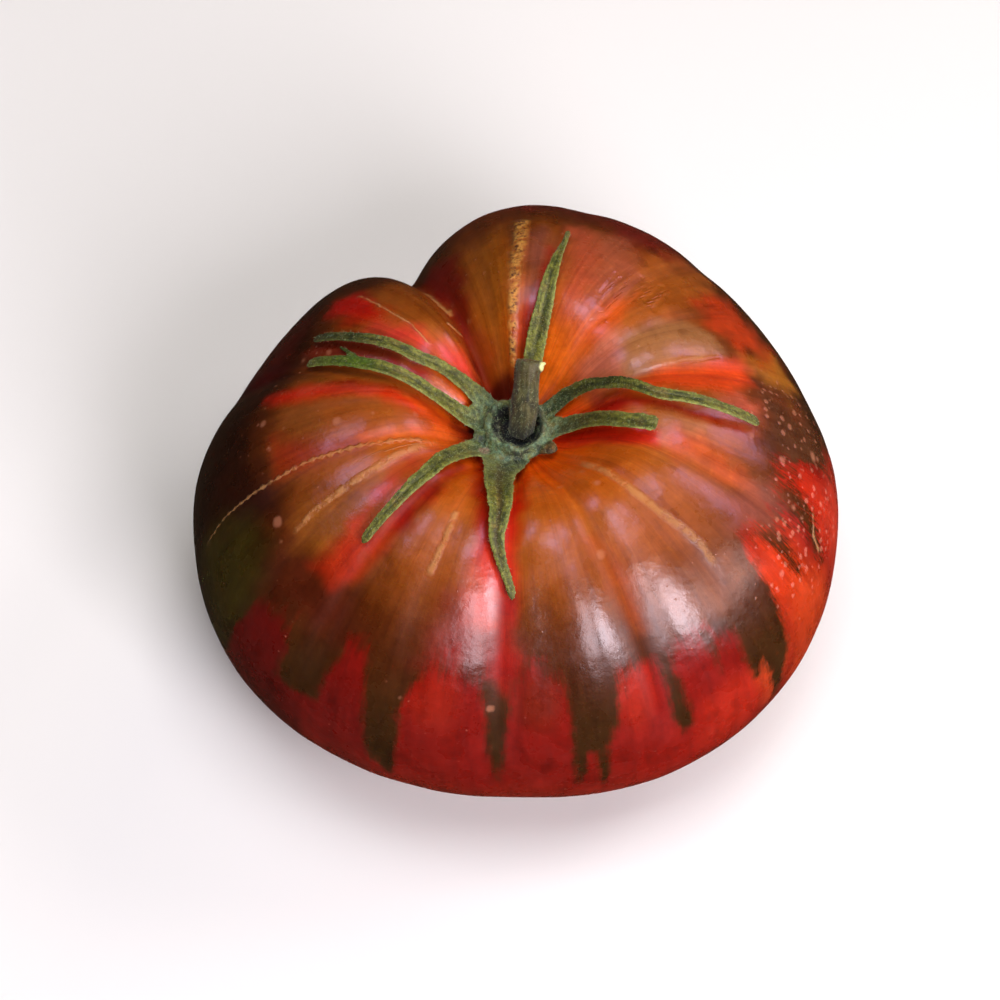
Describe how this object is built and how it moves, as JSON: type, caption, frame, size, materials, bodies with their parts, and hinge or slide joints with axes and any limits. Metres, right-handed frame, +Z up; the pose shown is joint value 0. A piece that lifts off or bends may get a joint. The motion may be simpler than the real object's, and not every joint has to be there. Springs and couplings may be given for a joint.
{
  "type": "tomato",
  "caption": "Flattened ribbed beefsteak tomato with a deep cleft at the back, its spreading green calyx and a cut stub of stalk, resting on its underside.",
  "frame": {"origin": "on the surface that the tomato rests on, under the middle of the fruit's box", "axes": "+Z up out of the stalk's cavity, +X along the fruit's widest extent; the camera of the picture stands on the -Y side and the deep cleft is towards +Y"},
  "size_m": [0.1064, 0.1028, 0.0682],
  "materials": {
    "skin": "smooth glossy ripe skin, red below and brown-green over the shoulders",
    "sepals": "matt, finely hairy green leaf",
    "stalk": "matt, hairy olive green stalk, browner at its cut end"
  },
  "bodies": {
    "root": {"fruit": "skin", "calyx": "sepals", "stalk": "stalk"}
  },
  "joints": []
}
